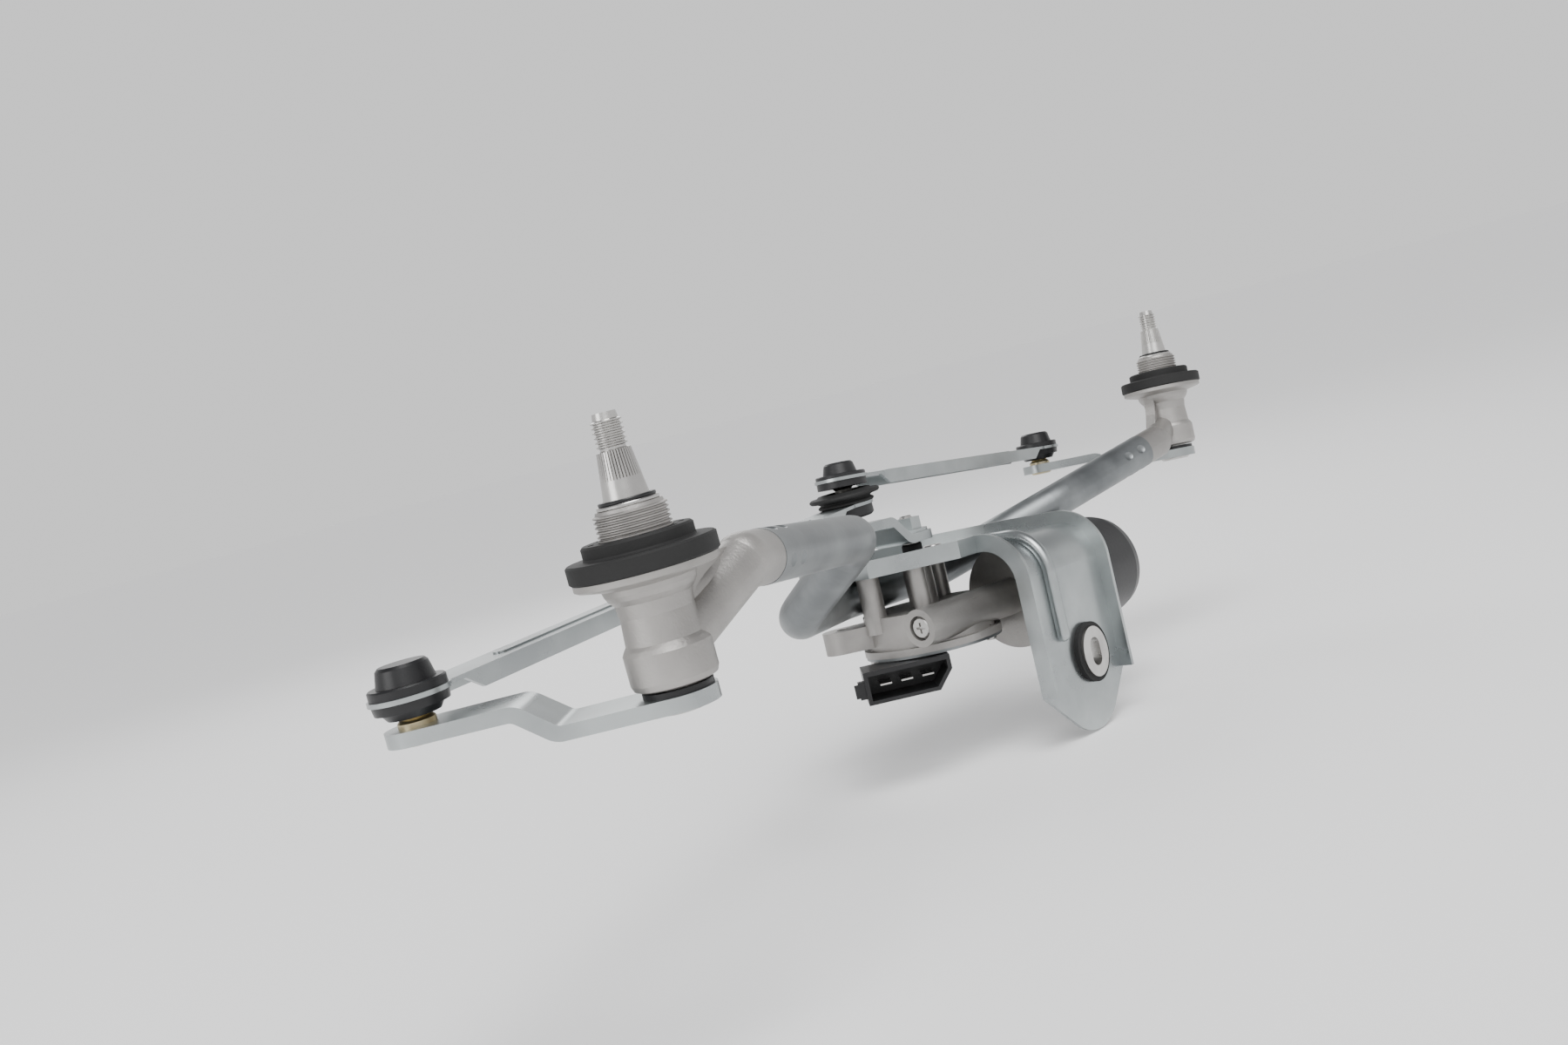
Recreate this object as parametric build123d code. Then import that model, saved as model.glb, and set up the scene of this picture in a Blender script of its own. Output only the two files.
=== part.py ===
"""Windshield wiper linkage with its gear motor, modelled piece by piece.

Millimetres, +Z up, +X towards the far pivot.  Sizes are measured from the top of the near
pivot's flange; the saved pieces have their origin SEAT above it, where the neck is bare.
"""
from build123d import *
from math import cos, pi, radians, sin, sqrt
import os

# ---- driving dimensions -------------------------------------------------------------
FAR_PIVOT = (577.0, 0.0, -15.7)      # far flange centre
FAR_TILT = 7.0                       # far spindle leans away from the near one
MOTOR_POINT = (343.0, 80.5, -27.0)   # on the motor axis, level with the lower stack ball
MOTOR_TILT = 3.5
MOTOR_TURN = -15.0                   # the bracket and worm axis turn this much from X
CRANK_REACH = 84.0                   # spindle axis to ball centre, both cranks
NEAR_CRANK_ANGLE = 115.5
FAR_CRANK_ANGLE = 115.0
NEAR_BALL_Z = -21.0
FAR_BALL_Z = -23.0
MOTOR_CRANK_REACH = 47.0
MOTOR_CRANK_ANGLE = 171.0
STACK_PITCH = 16.0                   # between the two balls of the motor crank's stud

FLANGE_R, FLANGE_T = 23.5, 2.6
NECK_R, NECK_TOP, NECK_PITCH = 12.0, 20.0, 1.5
SEAT = 11.0                          # flange top to where the neck leaves its seal
BOSS_R, BOSS_TOP, BOSS_BOTTOM = 14.3, -24.0, -37.5
BUSH_R, BUSH_LENGTH = 9.0, 13.0
SPINDLE_R, SPINDLE_GAP = 7.5, 0.05
CRANK_TOP, CRANK_T, CRANK_R = -40.0, 5.0, 12.6
BALL_R, BALL_GAP = 8.0, 0.3
STACK_BALL_R, STACK_BALL_GAP = 6.5, 0.8
ROD_T, EYE_R = 1.6, 13.6
TUBE_R, TUBE_WALL = 10.0, 1.5
SHEET = 2.0                          # bracket's sheet thickness

NEAR = Location((0, 0, 0))
FAR = Location(FAR_PIVOT, (0, FAR_TILT, 0))
MOTOR_AXIS = Location(MOTOR_POINT, (0, MOTOR_TILT, 0))
MOTOR = MOTOR_AXIS * Location((0, 0, 0), (0, 0, MOTOR_TURN))

os.makedirs("parts", exist_ok=True)


# ---- shared helpers -----------------------------------------------------------------
def save(node, shape):
    """Write one named piece."""
    export_step(Pos(0, 0, -SEAT) * shape, f"parts/{node}.step")


def turned(*outline):
    """Solid of revolution about Z from an outline of (radius, height) points."""
    return revolve(Plane.XZ * make_face(Polyline(*outline, close=True)), Axis.Z)


def rod_between(start, end, radius):
    """Round bar from one point to another."""
    start, end = Vector(*start), Vector(*end)
    run = end - start
    return extrude(Plane(start, z_dir=run) * Circle(radius), run.length)


def polar(radius, angle, z=0.0):
    return (radius * cos(radians(angle)), radius * sin(radians(angle)), z)


def threaded(core, crest, bottom, top, pitch):
    """Outline points, bottom to top, of ridged thread flanks between two heights."""
    points = []
    flat = pitch / 8
    count = int((top - bottom) / pitch)
    for turn in range(count):
        z = bottom + turn * pitch
        points += [(core, z), (core, z + flat), (crest, z + pitch / 2 - flat)]
        points += [(crest, z + pitch / 2 + flat), (core, z + pitch - flat)]
    return points


# ---- pivot housings -----------------------------------------------------------------
def housing_body():
    """Die-cast pivot: flange, bowl, waist, lower boss and threaded neck round the bore."""
    neck = threaded(NECK_R - 0.9, NECK_R, SEAT + 0.6, NECK_TOP - 0.6, NECK_PITCH)
    outline = [(BUSH_R, BOSS_BOTTOM), (BOSS_R - 2.5, BOSS_BOTTOM), (BOSS_R - 0.7, BOSS_BOTTOM + 0.7)]
    outline += [(BOSS_R, BOSS_BOTTOM + 2.5), (BOSS_R, BOSS_TOP - 1.5), (BOSS_R - 0.8, BOSS_TOP)]
    outline += [(12.6, BOSS_TOP + 1.2), (12.0, -14.0), (12.6, -9.5), (14.2, -7.6), (15.0, -6.0)]
    outline += [(15.4, -4.2), (FLANGE_R - 1.0, -FLANGE_T), (FLANGE_R, -FLANGE_T + 0.6)]
    outline += [(FLANGE_R, 0), (NECK_R - 0.5, 0), (NECK_R - 0.5, SEAT), (NECK_R, SEAT), (NECK_R, SEAT + 0.4)]
    outline += neck + [(NECK_R - 1.2, NECK_TOP), (BUSH_R, NECK_TOP)]
    return turned(*outline)


def bore():
    return Pos(0, 0, BOSS_BOTTOM - 1) * extrude(Circle(BUSH_R), NECK_TOP - BOSS_BOTTOM + 2)


def stub(elbow, end, direction, length):
    """Arm's round shoulder up to the tube's mouth, and the spigot that goes inside it."""
    inside = Vector(*end) + Vector(*direction).normalized() * length
    shoulder = rod_between(elbow, end, TUBE_R - 0.2)
    spigot = rod_between(elbow, tuple(inside), TUBE_R - TUBE_WALL - 0.05)
    return shoulder + spigot + Pos(*elbow) * Sphere(TUBE_R - 0.2)


def near_housing(start, direction):
    """The near pivot's arm climbs from the lower boss to the stub that holds the tube."""
    elbow = tuple(Vector(*start) - Vector(*direction).normalized() * 17)
    arm = rod_between((4, -3, -24), elbow, 9.6) + rod_between((2, -1, -14), elbow, 7.0)
    web = Plane.XZ.offset(4.2) * make_face(Polyline((8, -27), (44, -8), (40, -3), (22, -1.5), (8, -6), close=True))
    body = housing_body() + arm + stub(elbow, start, direction, 24) + extrude(web, 5, both=True)
    return body - bore()


def far_housing(end, direction):
    """The far pivot's arm leaves low on the boss, with a web up to its flange."""
    local_end = (FAR.inverse() * Pos(*end)).position
    aim = (FAR.inverse() * Pos(*(Vector(*end) + Vector(*direction)))).position - local_end
    elbow = local_end - aim.normalized() * 14
    arm = rod_between((-2, 2, -23), tuple(elbow), 8.2)
    corners = [(-8, -2.2), (-13, -2.2), (-17, -16), (elbow.X + 2, elbow.Z + 4), (elbow.X + 8, elbow.Z - 2), (-6, -30)]
    web = extrude(Plane.XZ.offset(-5) * make_face(Polyline(*corners, close=True)), 3, both=True)
    body = housing_body() + arm + stub(tuple(elbow), tuple(local_end), tuple(aim), 24) + web
    return body - bore()


def flange_seal():
    """Two-step rubber disc on the flange, with small pockets round the neck."""
    seal = turned((12.1, 0), (23.6, 0), (24.3, 0.7), (24.3, 5.6), (23.6, 6.2), (18.3, 6.4), (18.1, 7.0),
                  (18.1, 10.2), (17.4, 10.9), (12.1, 10.9))
    pocket = Pos(14.6, 0, 9.4) * extrude(SlotOverall(3.6, 1.9, rotation=90), 2)
    for angle in range(0, 360, 45):
        seal -= Rot(0, 0, angle) * pocket
    return seal


def bush(bottom, length):
    """Sintered bush pressed in the pivot bore."""
    inner = SPINDLE_R + SPINDLE_GAP
    return turned((inner, bottom), (BUSH_R, bottom), (BUSH_R, bottom + length), (inner, bottom + length))


def seal_ring(radius, bottom, top):
    inner = SPINDLE_R + 0.35
    return turned((inner, bottom), (radius - 0.25, bottom), (radius, bottom + 0.3), (radius, top - 0.3),
                  (radius - 0.25, top), (inner, top))


# ---- spindles and their cranks ------------------------------------------------------
TAPER_BASE, TAPER_TOP, THREAD_TOP = 22.6, 37.5, 49.5
TAPER_R, TAPER_END_R, M10_R = 7.4, 5.55, 5.0


def spindle():
    """Shaft with a riveted foot, a part-knurled taper and an M10 thread for the arm nut."""
    foot = CRANK_TOP - CRANK_T
    thread = threaded(M10_R - 0.85, M10_R, TAPER_TOP + 0.9, THREAD_TOP - 0.9, 1.5)
    outline = [(0, foot - 1.2), (7.6, foot - 1.2), (8.6, foot - 0.3), (8.6, foot), (SPINDLE_R, foot)]
    outline += [(SPINDLE_R, TAPER_BASE), (TAPER_R, TAPER_BASE), (TAPER_END_R, TAPER_TOP)]
    outline += [(M10_R - 0.9, TAPER_TOP + 0.4)] + thread + [(M10_R - 1.2, THREAD_TOP), (0, THREAD_TOP)]
    shaft = turned(*outline)
    groove_face = Polyline((TAPER_R + 1.0, -0.55), (TAPER_R + 1.0, 0.55), (TAPER_R - 0.42, 0), close=True)
    lean = (TAPER_R - TAPER_END_R) / (TAPER_TOP - TAPER_BASE)
    groove = extrude(make_face(groove_face), 9.5, dir=(-lean, 0, 1))
    groove = Pos(-lean * 6, 0, TAPER_BASE + 6) * groove
    teeth = 40
    cutters = [Rot(0, 0, 360 / teeth * tooth) * groove for tooth in range(teeth)]
    return shaft - cutters


def z_bar(reach, low_top, rise, thick, low_r, high_r, joggle_from, joggle_to):
    """Flat bar bent into a shallow Z, from a rounded low end to a rounded high end."""
    low, high = low_top - thick, low_top + rise
    side = [(-low_r - 1, low), (joggle_from + 1.2, low), (joggle_to + 1.2, high - thick)]
    side += [(reach + high_r + 1, high - thick), (reach + high_r + 1, high)]
    side += [(joggle_to - 1.2, high), (joggle_from - 1.2, low_top), (-low_r - 1, low_top)]
    radii = [0.01, 9, 4, 0.01, 0.01, 9, 4, 0.01]
    outline = FilletPolyline(*side, radius=radii, close=True)
    bar = extrude(Plane.XZ * make_face(outline), low_r + 2, both=True)
    plan = make_hull([*Circle(low_r).edges(), *(Pos(reach, 0) * Circle(high_r)).edges()])
    return bar & Pos(0, 0, low - 5) * extrude(plan, thick + rise + 20)


def crank(ball_z):
    """Spindle crank: low on the shaft, stepped up to carry the ball stud."""
    top = ball_z - 9.5
    arm = z_bar(CRANK_REACH, CRANK_TOP, top - CRANK_TOP, CRANK_T, CRANK_R, 11.0, 38.0, 50.0)
    arm -= Pos(0, 0, CRANK_TOP - CRANK_T - 1) * extrude(Circle(SPINDLE_R), CRANK_T + 2)
    return arm - Pos(CRANK_REACH, 0, top - CRANK_T - 1) * extrude(Circle(5.0), CRANK_T + 2)


def ball_stud(ball_z):
    """Ball on a waisted neck with a collar, riveted through the crank's high end."""
    base = -9.5
    outline = [(0, base - CRANK_T - 1.0), (5.4, base - CRANK_T - 1.0), (6.4, base - CRANK_T - 0.2)]
    outline += [(6.4, base - CRANK_T), (5.0, base - CRANK_T), (5.0, base), (6.3, base), (6.3, base + 1.6)]
    outline += [(5.7, base + 2.2), (4.6, base + 3.0), (4.6, 0), (0, 0)]
    stud = turned(*outline) + Sphere(BALL_R)
    return Pos(CRANK_REACH, 0, ball_z) * stud


def crank_washer():
    """Dark thrust washer between the pivot boss and the crank."""
    inner = SPINDLE_R + 0.35
    return turned((inner, CRANK_TOP), (11.6, CRANK_TOP), (11.6, CRANK_TOP + 1.9), (inner, CRANK_TOP + 1.9))


# ---- rods, sockets and the two-ball stack -------------------------------------------
def point(place, local):
    return (place * Pos(*local)).position


NEAR_BALL = point(NEAR, polar(CRANK_REACH, NEAR_CRANK_ANGLE, NEAR_BALL_Z))
FAR_BALL = point(FAR, polar(CRANK_REACH, FAR_CRANK_ANGLE, FAR_BALL_Z))
STACK_LOW = point(MOTOR_AXIS, polar(MOTOR_CRANK_REACH, MOTOR_CRANK_ANGLE))
STACK_HIGH = point(MOTOR_AXIS, polar(MOTOR_CRANK_REACH, MOTOR_CRANK_ANGLE, STACK_PITCH))
PLATE_RISE = 0.5                     # plate's middle above a ball centre
LOW_PLATE_RISE = 2.5                 # the same at the stack's lower ball


def rod_frame(start, end, start_rise, end_rise):
    """X along the rod in its plate's middle, Z up, set above the two ball centres."""
    run = end - start
    along = run.normalized()
    up = along.cross(Vector(0, 0, 1).cross(along).normalized())
    lean = (end_rise - start_rise) / run.length
    level = sqrt(1 - lean * lean)
    z_dir = up * level - along * lean
    return Plane(start + z_dir * start_rise, x_dir=along * level + up * lean, z_dir=z_dir).location


ROD_1 = rod_frame(NEAR_BALL, STACK_LOW, PLATE_RISE, LOW_PLATE_RISE)
ROD_2 = rod_frame(STACK_HIGH, FAR_BALL, PLATE_RISE, PLATE_RISE)
ROD_1_LENGTH = (ROD_1.inverse() * Pos(*STACK_LOW)).position.X
ROD_2_LENGTH = (ROD_2.inverse() * Pos(*FAR_BALL)).position.X


def pressed_rod(length, start_hole, end_hole, side_from, side_to):
    """Sheet rod with round eyes and two turned-down sides that fade before the eyes."""
    half, depth, low = 9.5, 6.0, -ROD_T / 2
    plan = Circle(EYE_R) + Pos(length, 0) * Circle(EYE_R) + Pos(length / 2, 0) * Rectangle(length, 2 * half)
    plate = Pos(0, 0, low) * extrude(plan, ROD_T)
    plate -= Pos(0, 0, low - 1) * extrude(Circle(start_hole) + Pos(length, 0) * Circle(end_hole), ROD_T + 2)
    side = [(side_from, low + 0.4), (side_from + 9, low - depth + 0.8), (side_to - 9, low - depth + 0.8)]
    wall = extrude(Plane.XZ * make_face(Polyline(*side, (side_to, low + 0.4), close=True)), ROD_T / 2, both=True)
    rod = plate + Pos(0, half - ROD_T / 2, 0) * wall + Pos(0, ROD_T / 2 - half, 0) * wall
    bead = Pos(length / 2, 0, low + 0.2) * extrude(SlotOverall(length - 90, 6), ROD_T + 0.5)
    return rod + bead


def socket(rise, outline, cavity):
    """Moulded ball socket round the plate's eye, about the ball centre."""
    body = turned(*outline)
    return Pos(0, 0, -rise) * (body - Sphere(cavity))


EYE_HOLE = 10.0
HALF_T = ROD_T / 2


def cup_outline(rise, flange, cup, cup_r, top_r, skirt):
    low, high = rise - HALF_T, rise + HALF_T
    outline = [(0, skirt[-1][1])] + skirt[::-1] + [(12.8, low), (EYE_HOLE, low), (EYE_HOLE, high), (12.8, high)]
    outline += [(12.8, high + flange - 0.5), (12.3, high + flange), (cup_r, high + flange)]
    return outline + [(top_r, high + flange + cup - 1), (top_r - 1, high + flange + cup), (0, high + flange + cup)]


def end_socket():
    skirt = [(12.3, -3.5), (10.5, -3.5), (8.75, -6.1)]
    return socket(PLATE_RISE, cup_outline(PLATE_RISE, 3.2, 6.4, 9.8, 8.6, skirt), BALL_R + BALL_GAP)


NEAR_HINGE = Vector(-0.00909, 0.01228, 0.99988)   # axis that rod 1 turns about on its ball
FAR_HINGE = Vector(0.1111, 0.01784, 0.99365)


def grease_well(ball, axis):
    """Small well above a ball, on the axis that the rod turns about."""
    return rod_between(ball + axis * 6.5, ball + axis * 9.6, 3.0)


def upper_stack_socket():
    return socket(PLATE_RISE, cup_outline(PLATE_RISE, 2.0, 5.8, 8.8, 7.6, [(12.8, -3.7)]), STACK_BALL_R + STACK_BALL_GAP)


def lower_stack_socket():
    low, high = LOW_PLATE_RISE - HALF_T, LOW_PLATE_RISE + HALF_T
    outline = [(0, -4.0), (11.6, -4.0), (12.8, -3.0), (12.8, low), (EYE_HOLE, low), (EYE_HOLE, high), (0, high)]
    return socket(LOW_PLATE_RISE, outline, STACK_BALL_R + STACK_BALL_GAP)


def stack_boot():
    """Rubber boot with a wide lip between the two stacked sockets."""
    return turned((8.6, HALF_T), (13.6, HALF_T), (14.5, 1.6), (14.5, 3.6), (17.6, 4.0), (18.2, 4.7), (18.2, 5.9),
                  (17.6, 6.6), (14.0, 6.8), (13.2, 7.7), (8.6, 7.7))


def double_ball_stud():
    """Two balls on one pin, with the foot that stands on the motor crank."""
    pin = turned((0, -8.0), (7.6, -8.0), (7.6, -6.9), (4.4, -6.3), (4.4, STACK_PITCH), (0, STACK_PITCH))
    return pin + Sphere(STACK_BALL_R) + Pos(0, 0, STACK_PITCH) * Sphere(STACK_BALL_R)


# ---- tube ---------------------------------------------------------------------------
TUBE_POINTS = [(58.7, -4.2, -10.9), (180, 23, -25), (220, 87, -62), (322, 120, -73.9), (410, 104, -79.3),
               (468, 44, -60), (534, 9, -48)]
TUBE_BEND = 30.0


def tube():
    path = FilletPolyline(*TUBE_POINTS, radius=TUBE_BEND)
    ring = Circle(TUBE_R) - Circle(TUBE_R - TUBE_WALL)
    pipe = sweep(Plane(path @ 0, z_dir=path % 0) * ring, path=path)
    mouths = (Plane(path @ 0, z_dir=path % 0), Plane(path @ 1, z_dir=-(path % 1)))
    return pipe - [mouth.location * dent for mouth in mouths for dent in crimp_dents()]


def crimp_dents():
    """Shallow hollows, two rings of four, where the tube is pinched onto the stub."""
    ball = Pos(TUBE_R + 3.9, 0, 0) * Sphere(5)
    return [Pos(0, 0, depth) * Rot(0, 0, angle) * ball for depth in (8, 19) for angle in (20, 110, 200, 290)]


# ---- motor bracket, in the motor frame: X along the can, -Y towards the leg ----------
WEB_TOP = -34.5
WEB_CORNERS = [(-42, 46), (-42, -4), (-8, -38), (6, -38), (6, -40), (78, -40), (78, 0), (60, 46)]
BEND_Y, BEND_OUTER, LEG_FACE = -40.0, 20.0, -60.0
LEG_LEFT, LEG_RIGHT, FLANGE_RISE = 6.0, 78.0, 7.0
GROMMET_AT = (51.0, -102.0)
POSTS = [(-31, 8, 6.0), (-19, -15.5, 4.5), (30, 12, 4.5)]


def bend_ring(outer, left, right):
    """Quarter of the bracket's bend, from the web round to the leg."""
    ring = Circle(outer) - Circle(BEND_OUTER - SHEET)
    corner = ring & Pos(-50, 50) * Rectangle(100, 100)
    place = Plane((left, BEND_Y, WEB_TOP - BEND_OUTER), x_dir=(0, 1, 0), z_dir=(1, 0, 0))
    return extrude(place * corner, right - left)


def box(u0, u1, v0, v1, z0, z1):
    return Pos((u0 + u1) / 2, (v0 + v1) / 2, (z0 + z1) / 2) * Box(u1 - u0, v1 - v0, z1 - z0)


def upright(face, y0, y1):
    """Extrude a face drawn in (u, z) along v."""
    return Pos(0, y1, 0) * extrude(Plane.XZ * face, y1 - y0)


def bracket():
    web_face = make_face(Polyline(*WEB_CORNERS, close=True))
    low = WEB_TOP - SHEET
    rim = extrude(web_face, SHEET + FLANGE_RISE) - extrude(offset(web_face, -SHEET), SHEET + FLANGE_RISE)
    rim = Pos(0, 0, low) * rim - box(LEG_LEFT + SHEET, LEG_RIGHT - SHEET, -41, -37, low - 1, 0)
    body = Pos(0, 0, low) * extrude(web_face, SHEET) + rim
    bend_z = WEB_TOP - BEND_OUTER
    body += bend_ring(BEND_OUTER, LEG_LEFT, LEG_RIGHT)
    for left in (LEG_LEFT, LEG_RIGHT - SHEET):
        body += bend_ring(BEND_OUTER + FLANGE_RISE, left, left + SHEET)
        body += box(left, left + SHEET, LEG_FACE - FLANGE_RISE, LEG_FACE + SHEET, -116, bend_z)
    wide = Pos(42, (bend_z - 116) / 2) * Rectangle(72, bend_z + 116)
    tip = Pos(45, -117) * Circle(25)
    body += upright(make_hull([*wide.edges(), *tip.edges()]), LEG_FACE, LEG_FACE + SHEET)
    path = FilletPolyline((30, -12, -33), (30, -61.5, -33), (30, -61.5, -88), radius=21.5)
    rib = sweep(Plane(path @ 0, z_dir=path % 0) * Circle(3.5), path=path)
    body += rib + Pos(30, -12, -33) * Sphere(3.5) + Pos(30, -61.5, -88) * Sphere(3.5)
    for x, y, _ in POSTS:
        body -= Pos(x, y, low - 1) * extrude(Circle(3.2), 5)
    body -= Pos(0, 0, low - 1) * extrude(Circle(7.2), 5)
    return body - upright(Pos(*GROMMET_AT) * Ellipse(10.5, 13), LEG_FACE - 1, LEG_FACE + SHEET + 1)


def grommet():
    outer = Ellipse(13.5, 16)
    hole = SlotOverall(17.4, 10.4, rotation=90)
    body = upright(Pos(*GROMMET_AT) * outer, -63, -60) + upright(Pos(*GROMMET_AT) * Ellipse(10.5, 13), -60, -58)
    body += upright(Pos(*GROMMET_AT) * outer, -58, -55)
    return body - upright(Pos(*GROMMET_AT) * hole, -64, -54)


def sleeve():
    ring = SlotOverall(17.4, 10.4, rotation=90) - SlotOverall(15, 8, rotation=90)
    face = Ellipse(10.6, 13.4) - SlotOverall(15, 8, rotation=90)
    return upright(Pos(*GROMMET_AT) * ring, -63, -54.4) + upright(Pos(*GROMMET_AT) * face, -64.4, -63)


# ---- gearbox and motor, in the motor frame ------------------------------------------
CAN_Y, CAN_Z, CAN_R = -26.5, -65.5, 28.7
CAN_FROM, CAN_TO = 48.0, 128.0
DECK = -58.6
SHAFT_R = 4.0
WHEEL_TEETH, WHEEL_R, WORM_R = 43, 20.85, 5.35
MOTOR_LINE = Location((0, CAN_Y, CAN_Z), (0, 90, 0))     # its Z runs along the can


def along_motor(u0, u1, radius, inner=0.0):
    face = Circle(radius) - Circle(inner) if inner else Circle(radius)
    return MOTOR_LINE * Pos(0, 0, u0) * extrude(face, u1 - u0)


def column(x, y, radius, z0, z1):
    return Pos(x, y, z0) * extrude(Circle(radius), z1 - z0)


CONNECTOR = Location((0, 0, 0), (0, 0, -44))


def cover_screw_places():
    return [polar(33.0, angle) for angle in (30, 90, 150, 190, 330)]


def gearbox_housing():
    body = column(0, 0, 34, -76, DECK) + column(0, 0, 37, -79.5, -76) + column(0, 0, 7.8, DECK - 1, -37)
    for x, y, radius in POSTS:
        body += column(x, y, radius, DECK - 8, WEB_TOP - SHEET)
    body += along_motor(-38, 42, 9.8) + along_motor(40, CAN_FROM, CAN_R)
    lug = make_hull([*Circle(14).edges(), *(Pos(-33, 32) * Circle(11)).edges()])
    body += Pos(0, 0, -74) * extrude(lug, 12)
    body -= column(0, 0, 28, -80, -61)
    body -= along_motor(-29, 41, 7.0) + along_motor(41, 46, 9.0) + along_motor(43.8, 49, 26)
    body -= along_motor(-39, -34, 6.4) + along_motor(-35, -28, 3.0)
    body -= column(0, 0, SHAFT_R + 0.05, -62, -36)
    body -= Pos(-33, 32, -75) * extrude(Circle(3.2), 14)
    for x, y, _ in POSTS:
        body -= column(x, y, 2.8, -52, -36)
    for place in cover_screw_places():
        body -= CONNECTOR * Pos(*place) * Pos(0, 0, -80) * extrude(Circle(1.5), 5)
    return body


def gearbox_cover():
    cover = column(0, 0, 36.6, -81, -79.5) + column(0, 0, 12, -81.6, -80)
    for place in cover_screw_places():
        cover -= CONNECTOR * Pos(*place) * Pos(0, 0, -82) * extrude(Circle(1.5), 4)
    return cover


def cover_screws():
    screw = turned((0, -82.8), (2.4, -82.8), (2.9, -82.2), (2.9, -81), (1.5, -81), (1.5, -75.5), (0, -75.5))
    return Compound(children=[CONNECTOR * Pos(*place) * screw for place in cover_screw_places()])


def mount_screws():
    head = turned((0, -51), (2.8, -51), (2.8, WEB_TOP), (6.2, WEB_TOP), (6.2, -33.6), (5.4, -33.2), (5.2, -31.2),
                  (4.6, -30.4), (0, -30.4))
    recess = Pos(0, 0, -32.6) * extrude(RegularPolygon(2.6, 6), 4)
    return Compound(children=[Pos(x, y, 0) * (head - recess) for x, y, _ in POSTS])


def worm_end_screw():
    screw = MOTOR_LINE * turned((0, -37.2), (4.8, -37.2), (5.4, -36.6), (5.4, -34), (3.0, -34), (3.0, -29.4), (0, -29.4))
    for wide, deep in ((1.2, 5.6), (5.6, 1.2)):
        screw -= MOTOR_LINE * Pos(0, 0, -37) * Box(wide, deep, 2.4)
    return screw


def connector():
    outline = [(-42, -81.6), (-42, -98.6), (-5, -98.6), (3, -89), (3, -81.6)]
    inner = [(-39.8, -84), (-39.8, -96.6), (-6, -96.6), (0.9, -88.4), (0.9, -84)]
    shell = upright(make_face(Polyline(*outline, close=True)), -42, -14)
    shell -= upright(make_face(Polyline(*inner, close=True)), -43, -18)
    shell += box(-45.5, -42, -41, -36, -95, -86) + box(-47.5, -45.5, -41, -39.5, -94, -87)
    for x in (-31, -20, -9):
        shell -= box(x - 3, x + 3, -18.5, -13, -90.9, -90.1)
    return shell


def terminals():
    blades = [box(x - 3, x + 3, -34, -14.2, -90.9, -90.1) for x in (-31, -20, -9)]
    return Compound(children=blades)


def motor_can():
    end = CAN_TO
    edge = 9.0
    outer = [(0, end), (CAN_R - edge, end), (CAN_R - 4.2, end - 1.2), (CAN_R - 1.2, end - 4.2), (CAN_R, end - edge)]
    wall = 1.6
    inner = [(CAN_R - wall, CAN_FROM), (CAN_R - wall, end - edge), (CAN_R - 2.9, end - 4.9), (CAN_R - 5.2, end - 2.6)]
    inner += [(CAN_R - edge, end - wall), (6.2, end - wall), (6.2, end - 6.4), (5.0, end - 6.4), (5.0, end - 1.4)]
    return MOTOR_LINE * turned(*outer, (CAN_R, CAN_FROM), *inner, (0, end - 1.4))


def magnets():
    ring = Circle(26.9) - Circle(22.4)
    side = ring & (Pos(29, 0) * Rectangle(32, 46))
    return Compound(children=[MOTOR_LINE * Rot(0, 0, turn) * Pos(0, 0, 62) * extrude(side, 50) for turn in (0, 180)])


def brush_holder():
    return along_motor(49.2, 52.2, 26.4, 11.5) + along_motor(52.2, 55, 17, 15.6)


def brushes():
    return Compound(children=[MOTOR_LINE * Pos(x, 0, 54.7) * Box(5.2, 4, 5) for x in (-12, 12)])


def sintered_ring(u0, u1, radius):
    return along_motor(u0, u1, radius, 3.05)


def shaft_seal():
    return turned((4.35, -37), (6.4, -37), (6.4, -32), (5.4, -31.2), (5.4, -26.4), (4.8, -25.5), (4.35, -25.5))


def output_shaft():
    thread = threaded(3.3, SHAFT_R, -19.6, -11.2, 1.25)
    top = [(3.2, -10.8), (2.8, -10.4), (0, -10.4)]
    return turned((0, -77.5), (3.6, -77.5), (SHAFT_R, -77), (SHAFT_R, -19.7), *thread, *top)


def worm_wheel():
    wheel = column(0, 0, WHEEL_R, -69.5, -61.5) + column(0, 0, 8, -72, -61.3)
    notch = Pos(WHEEL_R, 0, -70) * extrude(make_face(Polyline((0.4, -0.95), (0.4, 0.95), (-1.7, 0.4), (-1.7, -0.4), close=True)), 9)
    wheel -= [Rot(0, 0, 360 / WHEEL_TEETH * tooth) * notch for tooth in range(WHEEL_TEETH)]
    for angle in range(0, 360, 60):
        wheel -= Pos(*polar(13.2, angle, -70)) * extrude(Circle(3.2), 9)
    return wheel - column(0, 0, SHAFT_R, -73, -60)


def motor_crank_arm():
    arm = z_bar(MOTOR_CRANK_REACH, -19.8, 11.55, 4.7, 12.0, 11.0, 15.0, 27.0)
    return arm - column(0, 0, SHAFT_R, -26, -18)


def crank_nut():
    nut = column(0, 0, 10.2, -19.8, -18.2) + Pos(0, 0, -18.2) * extrude(RegularPolygon(7.5, 6), 6.5)
    return nut - column(0, 0, SHAFT_R, -20, -11)


def armature_shaft():
    """Shaft with ring-cut worm; the worm's crests stop short of the wheel."""
    worm = threaded(WORM_R - 1.8, WORM_R, -17, 17, pi)
    outline = [(0, -28.6), (2.4, -28.6), (3.0, -28), (3.0, -17.2)] + worm + [(3.0, 17.4), (3.0, 125.8), (0, 125.8)]
    return MOTOR_LINE * turned(*outline)


def armature_core():
    core = along_motor(66, 110, 20.6, 3.0)
    slot = MOTOR_LINE * Pos(16.5, 0, 65) * extrude(Rectangle(9, 3), 46)
    cuts = [MOTOR_LINE * Rot(0, 0, 36 * turn) * MOTOR_LINE.inverse() * slot for turn in range(10)]
    return core - cuts


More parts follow.
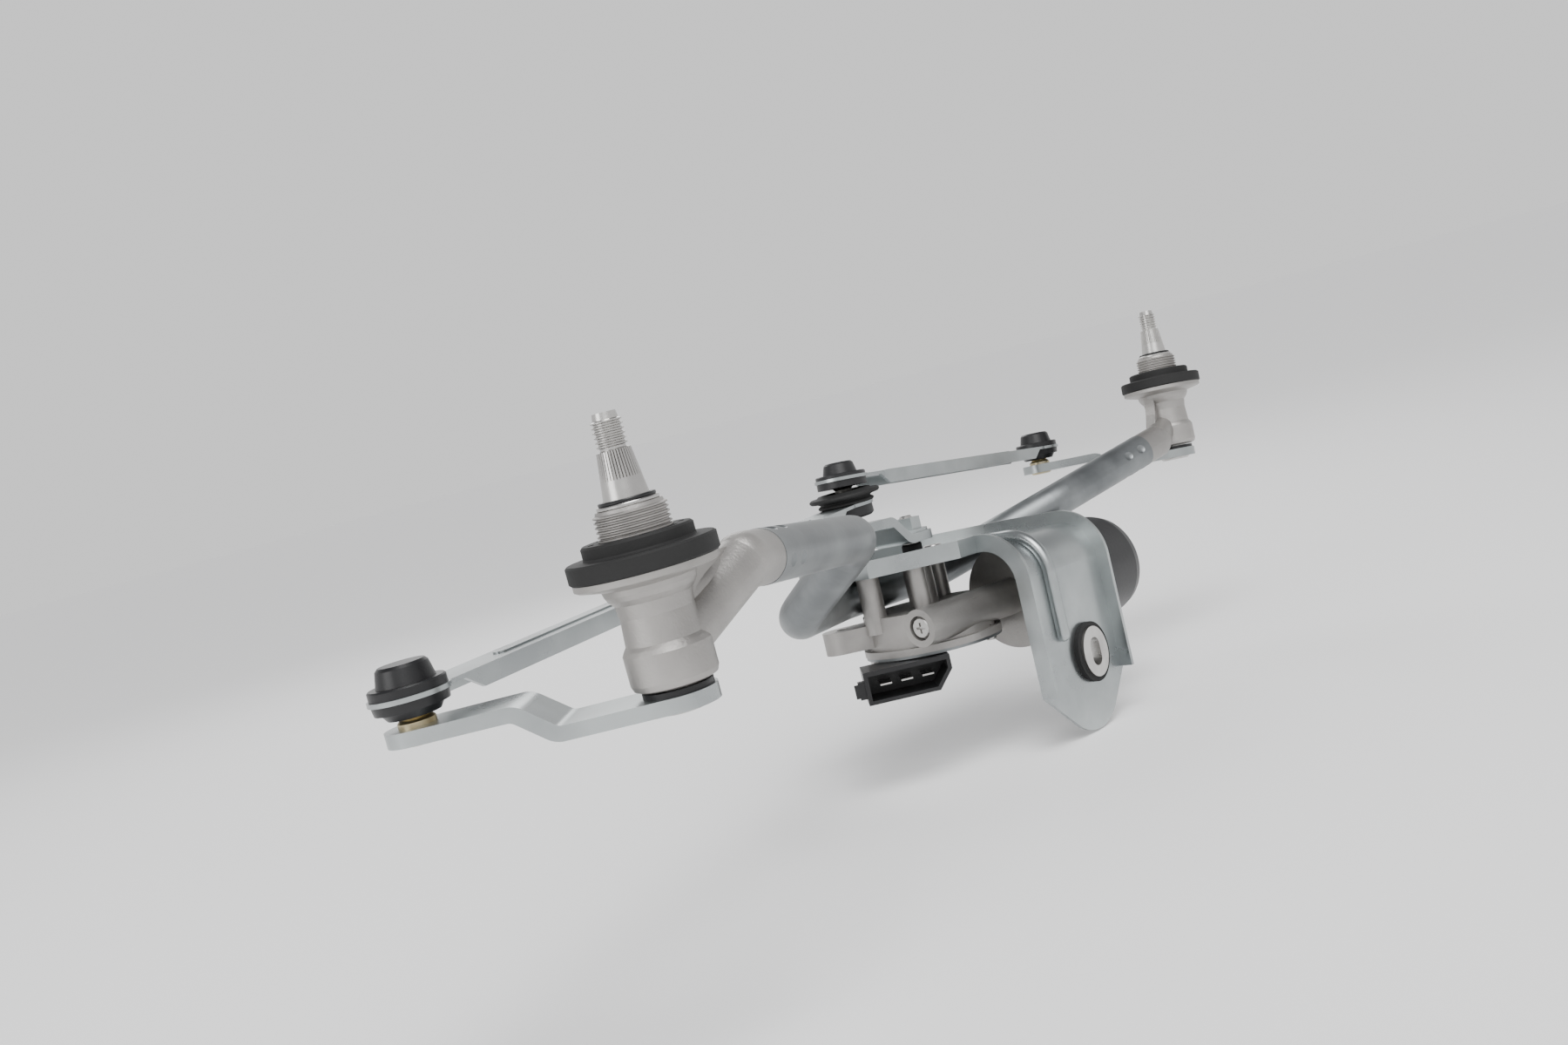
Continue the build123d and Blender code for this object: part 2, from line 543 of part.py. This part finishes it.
def windings():
    return Compound(children=[along_motor(61, 66, 17.5, 6), along_motor(110, 115, 17.5, 6)])


def commutator():
    ring = along_motor(52.4, 59.5, 9.2, 3.0)
    slot = MOTOR_LINE * Pos(9, 0, 52) * extrude(Rectangle(1.6, 0.6), 8)
    return ring - [MOTOR_LINE * Rot(0, 0, 36 * turn) * MOTOR_LINE.inverse() * slot for turn in range(10)]


# ---- write every piece in the shared frame ------------------------------------------
def save_pivot(side, place, housing, angle, ball_z):
    lower, upper = BOSS_BOTTOM + 0.4, NECK_TOP - 0.4 - BUSH_LENGTH
    turned_place = place * Location((0, 0, 0), (0, 0, angle))
    save(f"{side}_pivot_housing", place * housing)
    save(f"{side}_flange_seal", place * flange_seal())
    save(f"{side}_lower_bush", place * bush(lower, BUSH_LENGTH))
    save(f"{side}_upper_bush", place * bush(upper, BUSH_LENGTH))
    save(f"{side}_neck_washer", place * seal_ring(10.1, NECK_TOP, NECK_TOP + 1.3))
    save(f"{side}_neck_ring", place * seal_ring(9.3, NECK_TOP + 1.3, TAPER_BASE - 0.1))
    save(f"{side}_spindle", turned_place * spindle())
    save(f"{side}_crank", turned_place * crank(ball_z))
    save(f"{side}_ball_stud", turned_place * ball_stud(ball_z))
    save(f"{side}_thrust_washer", place * crank_washer())


START_RUN = Vector(*TUBE_POINTS[1]) - Vector(*TUBE_POINTS[0])
END_RUN = Vector(*TUBE_POINTS[-2]) - Vector(*TUBE_POINTS[-1])
save_pivot("near", NEAR, near_housing(TUBE_POINTS[0], START_RUN), NEAR_CRANK_ANGLE, NEAR_BALL_Z)
save_pivot("far", FAR, far_housing(TUBE_POINTS[-1], END_RUN), FAR_CRANK_ANGLE, FAR_BALL_Z)

save("frame_tube", tube())
save("near_rod", ROD_1 * pressed_rod(ROD_1_LENGTH, EYE_HOLE, EYE_HOLE, 16, ROD_1_LENGTH - 20))
save("near_rod_socket", ROD_1 * end_socket() - grease_well(NEAR_BALL, NEAR_HINGE))
save("near_rod_stack_socket", ROD_1 * Pos(ROD_1_LENGTH, 0, 0) * lower_stack_socket())
save("stack_boot", ROD_1 * Pos(ROD_1_LENGTH, 0, 0) * stack_boot())
save("far_rod", ROD_2 * pressed_rod(ROD_2_LENGTH, EYE_HOLE, EYE_HOLE, 24, ROD_2_LENGTH - 16))
save("far_rod_stack_socket", ROD_2 * upper_stack_socket())
save("far_rod_socket", ROD_2 * Pos(ROD_2_LENGTH, 0, 0) * end_socket() - grease_well(FAR_BALL, FAR_HINGE))
CRANK_PLACE = MOTOR_AXIS * Location((0, 0, 0), (0, 0, MOTOR_CRANK_ANGLE))
save("double_ball_stud", CRANK_PLACE * Pos(MOTOR_CRANK_REACH, 0, 0) * double_ball_stud())
save("motor_crank_arm", CRANK_PLACE * motor_crank_arm())

MOTOR_PIECES = {
    "motor_bracket": bracket, "bracket_grommet": grommet, "bracket_sleeve": sleeve,
    "gearbox_housing": gearbox_housing, "gearbox_cover": gearbox_cover, "cover_screws": cover_screws,
    "motor_mount_screws": mount_screws, "worm_end_screw": worm_end_screw, "motor_can": motor_can,
    "magnets": magnets, "brush_holder": brush_holder, "brushes": brushes, "shaft_seal": shaft_seal,
    "output_shaft": output_shaft, "worm_wheel": worm_wheel, "crank_nut": crank_nut,
    "armature_shaft": armature_shaft, "armature_core": armature_core,
    "armature_winding": windings, "commutator": commutator,
}
for node, make in MOTOR_PIECES.items():
    save(node, MOTOR * make())
save("connector", MOTOR * CONNECTOR * connector())
save("connector_terminals", MOTOR * CONNECTOR * terminals())
save("can_bush", MOTOR * sintered_ring(CAN_TO - 6.2, CAN_TO - 1.8, 5.0))
save("gearbox_bush", MOTOR * sintered_ring(41.2, 45.8, 9.0))
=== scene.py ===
"""Looks of the wiper linkage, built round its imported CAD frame, in metres."""
import math

import bmesh
import bpy
from mathutils import Matrix, Vector


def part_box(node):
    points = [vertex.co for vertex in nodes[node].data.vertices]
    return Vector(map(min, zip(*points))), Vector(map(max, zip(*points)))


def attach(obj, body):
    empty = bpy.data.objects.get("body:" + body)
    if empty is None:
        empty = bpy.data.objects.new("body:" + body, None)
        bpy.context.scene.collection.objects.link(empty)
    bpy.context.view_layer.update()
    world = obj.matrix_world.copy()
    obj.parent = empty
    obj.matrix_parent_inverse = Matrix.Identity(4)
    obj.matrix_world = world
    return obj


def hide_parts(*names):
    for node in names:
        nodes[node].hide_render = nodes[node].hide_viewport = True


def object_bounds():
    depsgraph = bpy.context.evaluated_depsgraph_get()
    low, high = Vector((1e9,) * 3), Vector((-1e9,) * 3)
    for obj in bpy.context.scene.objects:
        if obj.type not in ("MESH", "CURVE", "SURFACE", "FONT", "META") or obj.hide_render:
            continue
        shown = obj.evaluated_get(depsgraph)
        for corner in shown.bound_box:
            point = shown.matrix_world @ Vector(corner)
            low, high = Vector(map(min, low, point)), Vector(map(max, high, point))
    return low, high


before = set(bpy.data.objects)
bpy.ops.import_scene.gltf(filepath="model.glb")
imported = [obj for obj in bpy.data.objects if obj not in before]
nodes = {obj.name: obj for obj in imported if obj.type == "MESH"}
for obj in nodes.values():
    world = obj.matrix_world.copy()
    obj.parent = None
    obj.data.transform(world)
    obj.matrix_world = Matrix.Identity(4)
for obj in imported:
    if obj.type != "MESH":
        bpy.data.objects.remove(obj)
size_at_load = [list(corner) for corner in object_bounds()]

# ---- pivot housings and gearbox ------------------------------------------------------
# Both pivots and the gearbox are die-cast zinc-aluminium, left as cast: a dull grey skin with
# a fine sandy grain, a little darker in broad patches.


ROUGHNESS_BELOW, ROUGHNESS_ABOVE = 0.08, 0.1  # how far a finish's shine drifts each way
DRIFT_FROM, DRIFT_TO = 0.36, 0.64  # the part of the noise over which its colour changes


def surface(name, light, dark, roughness, metallic, grain, depth, patch=18.0):
    """Finish whose colour and shine drift in patches and whose skin has a fine grain."""
    finish = bpy.data.materials.new(name)
    finish.use_nodes = True
    tree = finish.node_tree
    shader = tree.nodes["Principled BSDF"]
    place = tree.nodes.new("ShaderNodeTexCoord")
    drift = tree.nodes.new("ShaderNodeTexNoise")
    drift.inputs["Scale"].default_value = patch
    drift.inputs["Detail"].default_value = 6.0
    tint = tree.nodes.new("ShaderNodeValToRGB")
    tint.color_ramp.elements[0].position = DRIFT_FROM
    tint.color_ramp.elements[0].color = (*dark, 1.0)
    tint.color_ramp.elements[1].position = DRIFT_TO
    tint.color_ramp.elements[1].color = (*light, 1.0)
    skin = tree.nodes.new("ShaderNodeTexNoise")
    skin.inputs["Scale"].default_value = grain
    skin.inputs["Detail"].default_value = 3.0
    dull = tree.nodes.new("ShaderNodeMapRange")
    dull.inputs["To Min"].default_value = max(roughness - ROUGHNESS_BELOW, 0.05)
    dull.inputs["To Max"].default_value = min(roughness + ROUGHNESS_ABOVE, 1.0)
    bump = tree.nodes.new("ShaderNodeBump")
    bump.inputs["Strength"].default_value = 0.5
    bump.inputs["Distance"].default_value = depth
    shader.inputs["Metallic"].default_value = metallic
    tree.links.new(place.outputs["Object"], drift.inputs["Vector"])
    tree.links.new(place.outputs["Object"], skin.inputs["Vector"])
    tree.links.new(drift.outputs["Fac"], tint.inputs["Fac"])
    tree.links.new(tint.outputs["Color"], shader.inputs["Base Color"])
    tree.links.new(drift.outputs["Fac"], dull.inputs["Value"])
    tree.links.new(dull.outputs["Result"], shader.inputs["Roughness"])
    tree.links.new(skin.outputs["Fac"], bump.inputs["Height"])
    tree.links.new(bump.outputs["Normal"], shader.inputs["Normal"])
    return finish


def dress(finish, *names):
    """Give CAD pieces their finish."""
    for name in names:
        nodes[name].data.materials.clear()
        nodes[name].data.materials.append(finish)


cast_zinc = surface(
    "cast zinc", (0.40, 0.385, 0.37), (0.29, 0.28, 0.27),
    roughness=0.44, metallic=0.8, grain=900.0, depth=0.0003, patch=30.0,
)
dress(cast_zinc, "near_pivot_housing", "far_pivot_housing", "gearbox_housing")

# ---- tube ----------------------------------------------------------------------------
# Drawn steel tube, galvanised and bent cold: blue-grey with a cloudy, slightly greasy skin.
# The gearbox's pressed cover and the armature's stacked sheets have the same finish.
galvanised = surface(
    "galvanised tube", (0.27, 0.285, 0.29), (0.15, 0.16, 0.165),
    roughness=0.38, metallic=0.85, grain=320.0, depth=0.0001, patch=26.0,
)
dress(galvanised, "frame_tube", "gearbox_cover", "armature_core")

# ---- bracket, cranks and pressed rods ------------------------------------------------
# Sheet and bar steel, bright zinc plated with a clear blue passivation. The sheet pieces are
# pressed, and the cranks are flat bar bent into a shallow step.
bright_zinc = surface(
    "bright zinc plate", (0.47, 0.50, 0.50), (0.33, 0.35, 0.355),
    roughness=0.28, metallic=0.95, grain=420.0, depth=0.00002, patch=22.0,
)
dress(
    bright_zinc,
    "motor_bracket", "near_crank", "far_crank", "motor_crank_arm", "crank_nut", "near_rod",
    "far_rod",
)

# ---- motor can -----------------------------------------------------------------------
# Deep-drawn steel can, painted satin black all over after drawing, so that its rounded end
# and its wall have one even skin.
satin_black = surface(
    "satin black paint", (0.020, 0.020, 0.021), (0.011, 0.011, 0.012),
    roughness=0.36, metallic=0.0, grain=420.0, depth=0.00012,
)
dress(satin_black, "motor_can")

# ---- spindles, shaft, sleeve and screws ----------------------------------------------
# Turned and rolled steel, bright, with fine tool marks. The neck washers and the connector's
# blades are stamped, and are as bright.
bright_steel = surface(
    "turned steel", (0.60, 0.59, 0.57), (0.45, 0.44, 0.43),
    roughness=0.27, metallic=1.0, grain=1400.0, depth=0.00004, patch=60.0,
)
dress(
    bright_steel,
    "near_spindle", "far_spindle", "output_shaft", "bracket_sleeve", "cover_screws",
    "motor_mount_screws", "worm_end_screw", "armature_shaft", "near_neck_washer",
    "far_neck_washer", "connector_terminals",
)

# ---- ball studs ----------------------------------------------------------------------
# Turned steel with yellow chromate over zinc: a thin gold cast that drifts towards green.
# The stacked pin is steel painted almost black as painted shade, standing in for the shade on the
# little of it that its boot leaves bare.
yellow_zinc = surface(
    "yellow zinc plate", (0.52, 0.43, 0.25), (0.42, 0.38, 0.27),
    roughness=0.30, metallic=0.95, grain=700.0, depth=0.00005, patch=90.0,
)
dress(yellow_zinc, "near_ball_stud", "far_ball_stud")
# Painted shade: the stacked pin's steel is made near black for the shade in the narrow gap by its
# boot.
painted_shade_pin = surface(
    "painted shade pin", (0.07, 0.068, 0.063), (0.04, 0.039, 0.036),
    roughness=0.34, metallic=0.8, grain=300.0, depth=0.00004,
)
dress(painted_shade_pin, "double_ball_stud")

# ---- seals, boot and grommet ---------------------------------------------------------
# Moulded EPDM rubber, matt black with a fine dry grain. Each piece is pressed or stretched
# into place, with no clip or screw.
rubber = surface(
    "moulded rubber", (0.017, 0.017, 0.017), (0.009, 0.009, 0.009),
    roughness=0.66, metallic=0.0, grain=800.0, depth=0.00015,
)
rubber.node_tree.nodes["Principled BSDF"].inputs["Specular IOR Level"].default_value = 0.3
dress(
    rubber,
    "near_flange_seal", "far_flange_seal", "stack_boot", "bracket_grommet", "shaft_seal",
)

# ---- boot between the stacked rods ---------------------------------------------------
# A soft rubber bellows: one narrow fold below and a broad drip lip above, moulded in one
# piece. It sits on the lower rod, moves with it and stops short of the upper socket.
BOOT_HEIGHT = 7.0
BOOT_OUTLINE = (
    (8.6, 0.0), (13.9, 0.0), (14.5, 0.7), (14.3, 1.5), (13.1, 2.1), (13.1, 2.6),  # fold
    (14.4, 3.2), (17.5, 3.7), (18.2, 4.4), (18.1, 5.3), (17.4, 5.9), (15.4, 6.0),  # lip
    (14.0, 6.4), (13.3, BOOT_HEIGHT), (8.6, BOOT_HEIGHT),
)
BOOT_LEAN = Vector((0.0155, -0.0006, 0.9999))  # within a degree of square to the lower rod


def spun(name, outline, foot, axis, steps=72):
    """Closed ring made by turning a (radius, height) outline in millimetres about an axis."""
    shape = bmesh.new()
    corners = [shape.verts.new((radius / 1000, 0.0, height / 1000)) for radius, height in outline]
    sides = [shape.edges.new((a, b)) for a, b in zip(corners, corners[1:] + corners[:1])]
    bmesh.ops.spin(
        shape, geom=corners + sides, cent=(0, 0, 0), axis=(0, 0, 1),
        angle=math.tau, steps=steps, use_merge=True,
    )
    bmesh.ops.remove_doubles(shape, verts=shape.verts, dist=1e-6)
    bmesh.ops.recalc_face_normals(shape, faces=shape.faces)
    upright = axis.to_track_quat("Z", "Y").to_matrix().to_4x4()
    bmesh.ops.transform(shape, matrix=Matrix.Translation(foot) @ upright, verts=shape.verts)
    for face in shape.faces:
        face.smooth = True
    mesh = bpy.data.meshes.new(name)
    shape.to_mesh(mesh)
    shape.free()
    ring = bpy.data.objects.new(name, mesh)
    bpy.context.scene.collection.objects.link(ring)
    return ring


boot_low, boot_high = (Vector(corner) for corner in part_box("stack_boot"))
boot_middle = (boot_low + boot_high) / 2
boot_foot = boot_middle - BOOT_LEAN * (BOOT_HEIGHT / 2 / 1000)
boot = spun("bellows_boot", BOOT_OUTLINE, boot_foot, BOOT_LEAN)
boot.data.materials.append(rubber)
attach(boot, "rod_1")
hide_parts("stack_boot")

# ---- sockets, connector and plastic rings --------------------------------------------
# Injection-moulded nylon, black, a little shinier than the rubber, finely textured. The ball
# sockets are moulded round the rods' eyes.
nylon = surface(
    "black nylon", (0.012, 0.012, 0.013), (0.007, 0.007, 0.008),
    roughness=0.36, metallic=0.0, grain=1200.0, depth=0.00008,
)
nylon.node_tree.nodes["Principled BSDF"].inputs["Specular IOR Level"].default_value = 0.4
dress(
    nylon,
    "near_rod_socket", "far_rod_socket", "near_rod_stack_socket", "far_rod_stack_socket",
    "connector", "brush_holder", "near_thrust_washer", "far_thrust_washer", "near_neck_ring",
    "far_neck_ring",
)

# ---- pieces inside the motor and gearbox ---------------------------------------------
# Sintered bushes, ferrite magnets, carbon brushes, enamelled copper and an acetal wheel.
# The pivots' own bushes have the same finish as the motor's.
bronze = surface(
    "sintered bronze", (0.36, 0.22, 0.09), (0.27, 0.16, 0.07),
    roughness=0.50, metallic=0.9, grain=1500.0, depth=0.0001,
)
dress(
    bronze,
    "near_lower_bush", "near_upper_bush", "far_lower_bush", "far_upper_bush", "can_bush",
    "gearbox_bush",
)
copper = surface(
    "copper", (0.62, 0.27, 0.12), (0.50, 0.20, 0.09),
    roughness=0.32, metallic=1.0, grain=900.0, depth=0.00005,
)
dress(copper, "armature_winding", "commutator")
ferrite = surface(
    "ferrite and carbon", (0.07, 0.07, 0.075), (0.045, 0.045, 0.05),
    roughness=0.62, metallic=0.0, grain=900.0, depth=0.0001,
)
dress(ferrite, "magnets", "brushes")
acetal = surface(
    "natural acetal", (0.74, 0.71, 0.62), (0.68, 0.65, 0.56),
    roughness=0.45, metallic=0.0, grain=600.0, depth=0.00005,
)
dress(acetal, "worm_wheel")

# ---- floor, lights and camera --------------------------------------------------------
# A plain pale floor under soft studio light: a key and a fill from the near side, a rim from
# the far side and a broad sun above. The camera is rolled against the near spindle.
FLOOR_DROP = 0.001  # clears the bracket tip
FLOOR_SIZE, FLOOR_MIDDLE = 60.0, 0.3
lowest = size_at_load[0][2]
bpy.ops.mesh.primitive_plane_add(
    size=FLOOR_SIZE, location=(FLOOR_MIDDLE, 0.0, lowest - FLOOR_DROP)
)
floor = bpy.context.object
floor.name = "studio_floor"
pale = bpy.data.materials.new("pale floor")
pale.use_nodes = True
paint = pale.node_tree.nodes["Principled BSDF"]
paint.inputs["Base Color"].default_value = (0.95, 0.95, 0.95, 1.0)
paint.inputs["Roughness"].default_value = 0.9
floor.data.materials.append(pale)

world = bpy.data.worlds.new("studio")
world.use_nodes = True
backdrop = world.node_tree.nodes["Background"]
backdrop.inputs["Strength"].default_value = 0.95
sky = world.node_tree.nodes.new("ShaderNodeTexCoord")
height = world.node_tree.nodes.new("ShaderNodeSeparateXYZ")
shade = world.node_tree.nodes.new("ShaderNodeValToRGB")
shade.color_ramp.elements[0].position = 0.35
shade.color_ramp.elements[0].color = (1.0, 1.0, 1.0, 1.0)
shade.color_ramp.elements[1].position = 0.60
shade.color_ramp.elements[1].color = (0.30, 0.30, 0.31, 1.0)
world.node_tree.links.new(sky.outputs["Generated"], height.inputs["Vector"])
world.node_tree.links.new(height.outputs["Z"], shade.inputs["Fac"])
world.node_tree.links.new(shade.outputs["Color"], backdrop.inputs["Color"])
bpy.context.scene.world = world


def softbox(name, place, aim, width, watts):
    """Square area light that faces a point."""
    lamp = bpy.data.lights.new(name, "AREA")
    lamp.size = width
    lamp.energy = watts
    light = bpy.data.objects.new(name, lamp)
    light.location = place
    light.rotation_euler = (Vector(aim) - Vector(place)).to_track_quat("-Z", "Y").to_euler()
    bpy.context.scene.collection.objects.link(light)


MIDDLE = (0.28, 0.04, -0.04)
softbox("key", (-0.3, -0.5, 1.3), MIDDLE, width=0.7, watts=12.0)
softbox("fill", (-1.2, 0.6, 0.5), MIDDLE, width=0.8, watts=7.0)
softbox("rim", (1.2, 0.9, 0.8), MIDDLE, width=0.7, watts=6.0)
SUN_STRENGTH, SUN_SPREAD = 2.2, 1.0
SUN_TILT = (math.radians(25.0), math.radians(-30.0), 0.0)
sun = bpy.data.lights.new("overhead", "SUN")
sun.energy = SUN_STRENGTH
sun.angle = SUN_SPREAD
overhead = bpy.data.objects.new("overhead", sun)
overhead.rotation_euler = SUN_TILT
bpy.context.scene.collection.objects.link(overhead)

CAMERA_PLACE = Vector((-0.38043, -0.28231, 0.02867))
RIGHT = Vector((0.4821, -0.8379, -0.2558))
UP = Vector((0.198, -0.1802, 0.9635))
FORWARD = Vector((0.8535, 0.5151, -0.079))
lens = bpy.data.cameras.new("camera")
lens.lens = 35.0
lens.sensor_width = 36.0
lens.clip_start = 0.01
camera = bpy.data.objects.new("camera", lens)
turn = Matrix((RIGHT, UP, -FORWARD)).transposed().to_4x4()
camera.matrix_world = Matrix.Translation(CAMERA_PLACE) @ turn
bpy.context.scene.collection.objects.link(camera)
bpy.context.scene.camera = camera
